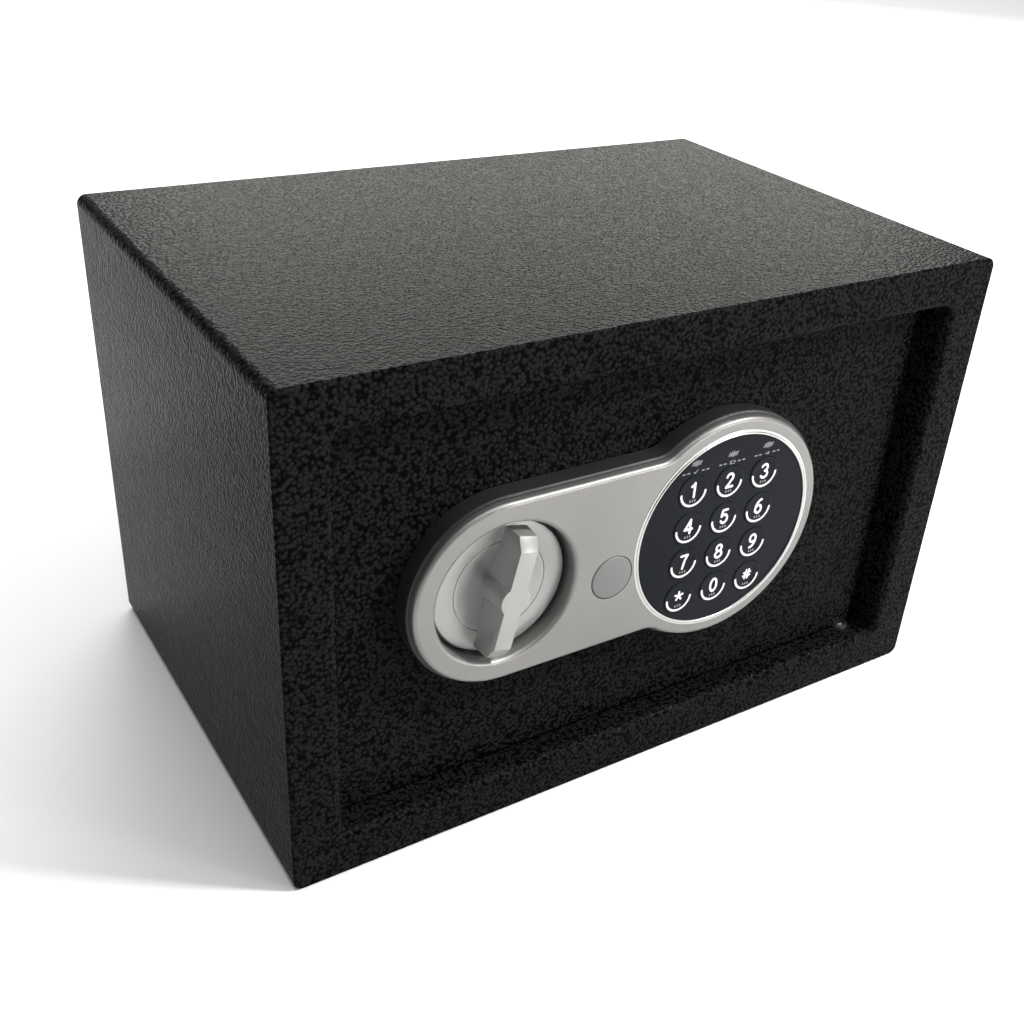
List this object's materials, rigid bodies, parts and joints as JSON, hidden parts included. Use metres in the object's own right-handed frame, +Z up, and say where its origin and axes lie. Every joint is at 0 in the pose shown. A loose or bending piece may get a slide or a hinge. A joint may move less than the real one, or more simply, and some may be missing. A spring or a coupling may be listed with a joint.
{
  "type": "in room safe",
  "caption": "Compact steel cabinet safe with a recessed hinged door, a turn knob, a round numeric keypad and a covered key lock.",
  "frame": {"origin": "middle of the cabinet's footprint, on its underside", "axes": "+X to the right seen from the front, +Y to the back, +Z up; the door faces -Y"},
  "size_m": [0.31, 0.2083, 0.199],
  "materials": {
    "powder_coat": "black wrinkle powder coat",
    "mat_felt": "needled felt",
    "zinc_steel": "zinc plated",
    "bolt_chrome": "polished, plated",
    "spring_steel": "satin",
    "housing_plastic": "fine matt texture",
    "silver_plastic": "satin silver paint",
    "knob_silver": "satin silver paint",
    "cap_grey": "satin grey",
    "ring_chrome": "bright",
    "keypad_gloss": "gloss black with white print",
    "led_lens": "smoked lens, unlit",
    "silicone_mat": "soft matt",
    "circuit_board": "solder mask",
    "board_components": "moulded",
    "nylon": "natural",
    "lock_chrome": "satin plate",
    "lock_brass": "machined",
    "coil_tape": "wound, taped",
    "cover_plastic": "fine matt texture",
    "cell_wrap": "shrink wrap",
    "reset_red": "satin"
  },
  "bodies": {
    "cabinet": {"body_wrap": "powder_coat", "front_frame": "powder_coat", "back_panel": "powder_coat", "floor_mat": "mat_felt", "hinge_washer": "zinc_steel"},
    "door": {"door_plate": "powder_coat", "hinge_pin_top": "zinc_steel", "hinge_pin_bottom": "zinc_steel", "panel_housing": "housing_plastic", "fascia": "silver_plastic", "keypad_ring": "ring_chrome", "keypad_face": "keypad_gloss", "led_ready": "led_lens", "led_battery": "led_lens", "led_proceed": "led_lens", "keypad_mat": "silicone_mat", "keypad_board": "circuit_board", "panel_screws": "zinc_steel", "spindle_bush": "nylon", "guide_stud_lower": "zinc_steel", "guide_stud_upper": "zinc_steel", "bolt_guide": "zinc_steel", "lock_cylinder": "lock_chrome", "solenoid_yoke": "zinc_steel", "solenoid_coil": "coil_tape", "plunger_spring": "spring_steel", "inner_cover": "cover_plastic", "cover_posts": "zinc_steel", "cover_screws": "zinc_steel", "battery_box": "cover_plastic", "battery_cells": "cell_wrap", "control_board": "circuit_board", "board_parts": "board_components"},
    "knob_unit": {"knob": "knob_silver", "knob_spindle": "zinc_steel", "spindle_circlip": "spring_steel", "crank_arm": "zinc_steel"},
    "bolt_unit": {"bolt_plate": "zinc_steel", "bolt_lower": "bolt_chrome", "bolt_upper": "bolt_chrome"},
    "plunger_unit": {"solenoid_plunger": "spring_steel", "lift_arm": "zinc_steel"},
    "cap_unit": {"override_cap": "cap_grey"},
    "plug_unit": {"lock_plug": "lock_brass", "lock_cam": "zinc_steel", "cam_screw": "zinc_steel"},
    "reset_unit": {"reset_button": "reset_red"},
    "lid_unit": {"battery_lid": "cover_plastic"},
    "key_unit_1": {"key_1": "keypad_gloss"},
    "key_unit_2": {"key_2": "keypad_gloss"},
    "key_unit_3": {"key_3": "keypad_gloss"},
    "key_unit_4": {"key_4": "keypad_gloss"},
    "key_unit_5": {"key_5": "keypad_gloss"},
    "key_unit_6": {"key_6": "keypad_gloss"},
    "key_unit_7": {"key_7": "keypad_gloss"},
    "key_unit_8": {"key_8": "keypad_gloss"},
    "key_unit_9": {"key_9": "keypad_gloss"},
    "key_unit_star": {"key_star": "keypad_gloss"},
    "key_unit_0": {"key_0": "keypad_gloss"},
    "key_unit_hash": {"key_hash": "keypad_gloss"}
  },
  "joints": [
    {"name": "door_swing", "type": "hinge", "parent": "cabinet", "child": "door", "pos_m": [0.124, -0.088, 0.09975], "axis": [0, 0, 1], "range_deg": [0, 110]},
    {"name": "knob_turn", "type": "hinge", "parent": "door", "child": "knob_unit", "pos_m": [-0.0715, -0.096, 0.105], "axis": [0, -1, 0], "range_deg": [0, 90]},
    {"name": "bolt_throw", "type": "slide", "parent": "door", "child": "bolt_unit", "axis": [-1, 0, 0], "range_m": [0, 0.018]},
    {"name": "plunger_drop", "type": "slide", "parent": "door", "child": "plunger_unit", "axis": [0, 0, -1], "range_m": [0, 0.0045], "deforming": ["plunger_spring"]},
    {"name": "cap_lift", "type": "slide", "parent": "door", "child": "cap_unit", "axis": [0, -1, 0], "range_m": [0, 0.025]},
    {"name": "key_plug_turn", "type": "hinge", "parent": "door", "child": "plug_unit", "pos_m": [-0.026, -0.102, 0.0985], "axis": [0, -1, 0], "range_deg": [-90, 0]},
    {"name": "battery_lid_lift", "type": "slide", "parent": "door", "child": "lid_unit", "axis": [0, 1, 0], "range_m": [0, 0.03]},
    {"name": "reset_press", "type": "slide", "parent": "door", "child": "reset_unit", "axis": [0, -1, 0], "range_m": [0, 0.0012], "stiffness_N_per_m": 1500},
    {"name": "key_1_press", "type": "slide", "parent": "door", "child": "key_unit_1", "axis": [0, 1, 0], "range_m": [0, 0.0006], "stiffness_N_per_m": 2000},
    {"name": "key_2_press", "type": "slide", "parent": "door", "child": "key_unit_2", "axis": [0, 1, 0], "range_m": [0, 0.0006], "stiffness_N_per_m": 2000},
    {"name": "key_3_press", "type": "slide", "parent": "door", "child": "key_unit_3", "axis": [0, 1, 0], "range_m": [0, 0.0006], "stiffness_N_per_m": 2000},
    {"name": "key_4_press", "type": "slide", "parent": "door", "child": "key_unit_4", "axis": [0, 1, 0], "range_m": [0, 0.0006], "stiffness_N_per_m": 2000},
    {"name": "key_5_press", "type": "slide", "parent": "door", "child": "key_unit_5", "axis": [0, 1, 0], "range_m": [0, 0.0006], "stiffness_N_per_m": 2000},
    {"name": "key_6_press", "type": "slide", "parent": "door", "child": "key_unit_6", "axis": [0, 1, 0], "range_m": [0, 0.0006], "stiffness_N_per_m": 2000},
    {"name": "key_7_press", "type": "slide", "parent": "door", "child": "key_unit_7", "axis": [0, 1, 0], "range_m": [0, 0.0006], "stiffness_N_per_m": 2000},
    {"name": "key_8_press", "type": "slide", "parent": "door", "child": "key_unit_8", "axis": [0, 1, 0], "range_m": [0, 0.0006], "stiffness_N_per_m": 2000},
    {"name": "key_9_press", "type": "slide", "parent": "door", "child": "key_unit_9", "axis": [0, 1, 0], "range_m": [0, 0.0006], "stiffness_N_per_m": 2000},
    {"name": "key_star_press", "type": "slide", "parent": "door", "child": "key_unit_star", "axis": [0, 1, 0], "range_m": [0, 0.0006], "stiffness_N_per_m": 2000},
    {"name": "key_0_press", "type": "slide", "parent": "door", "child": "key_unit_0", "axis": [0, 1, 0], "range_m": [0, 0.0006], "stiffness_N_per_m": 2000},
    {"name": "key_hash_press", "type": "slide", "parent": "door", "child": "key_unit_hash", "axis": [0, 1, 0], "range_m": [0, 0.0006], "stiffness_N_per_m": 2000}
  ],
  "couplings": [
    {"joint": "knob_turn", "follows": "bolt_throw", "rad_per_m": 87.266}
  ]
}
